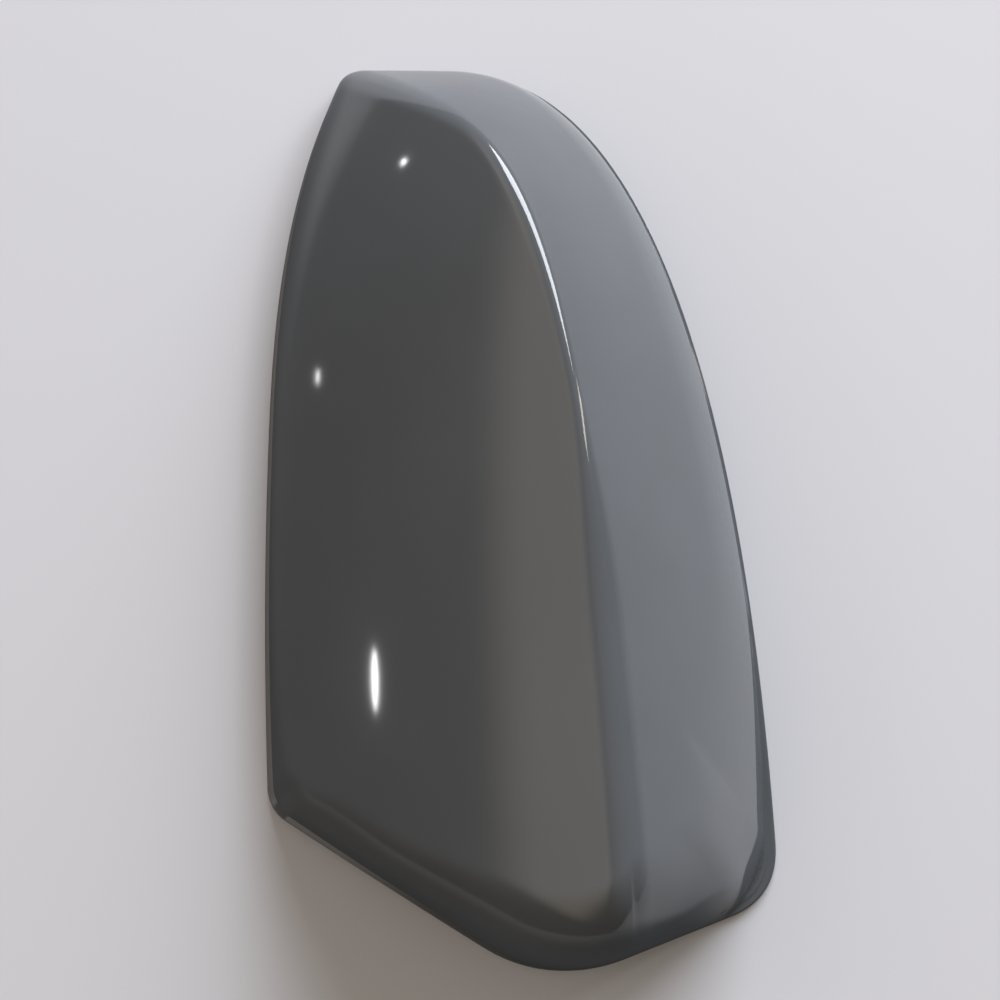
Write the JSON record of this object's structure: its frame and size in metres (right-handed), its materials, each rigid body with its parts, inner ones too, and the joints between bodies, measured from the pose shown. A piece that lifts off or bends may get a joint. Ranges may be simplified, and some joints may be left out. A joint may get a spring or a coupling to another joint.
{
  "type": "wing mirror cover",
  "caption": "Painted clip-fit wing mirror cover: creased shell with rolled end wall, edge bead, barbed snap hooks, locating pins and ribs inside.",
  "frame": {"origin": "centre of the bounding box in plan, on the plane of the rim the cover rests on", "axes": "+Z out through the front face (forwards on the car), +Y towards the outboard tip, +X towards the upper edge of the fitted mirror; the open side faces -Z"},
  "size_m": [0.13, 0.239, 0.063],
  "materials": {
    "paint": "solid mid-grey paint under clear lacquer on moulded ABS"
  },
  "bodies": {
    "root": {"mirror_cover": "paint"}
  },
  "joints": []
}
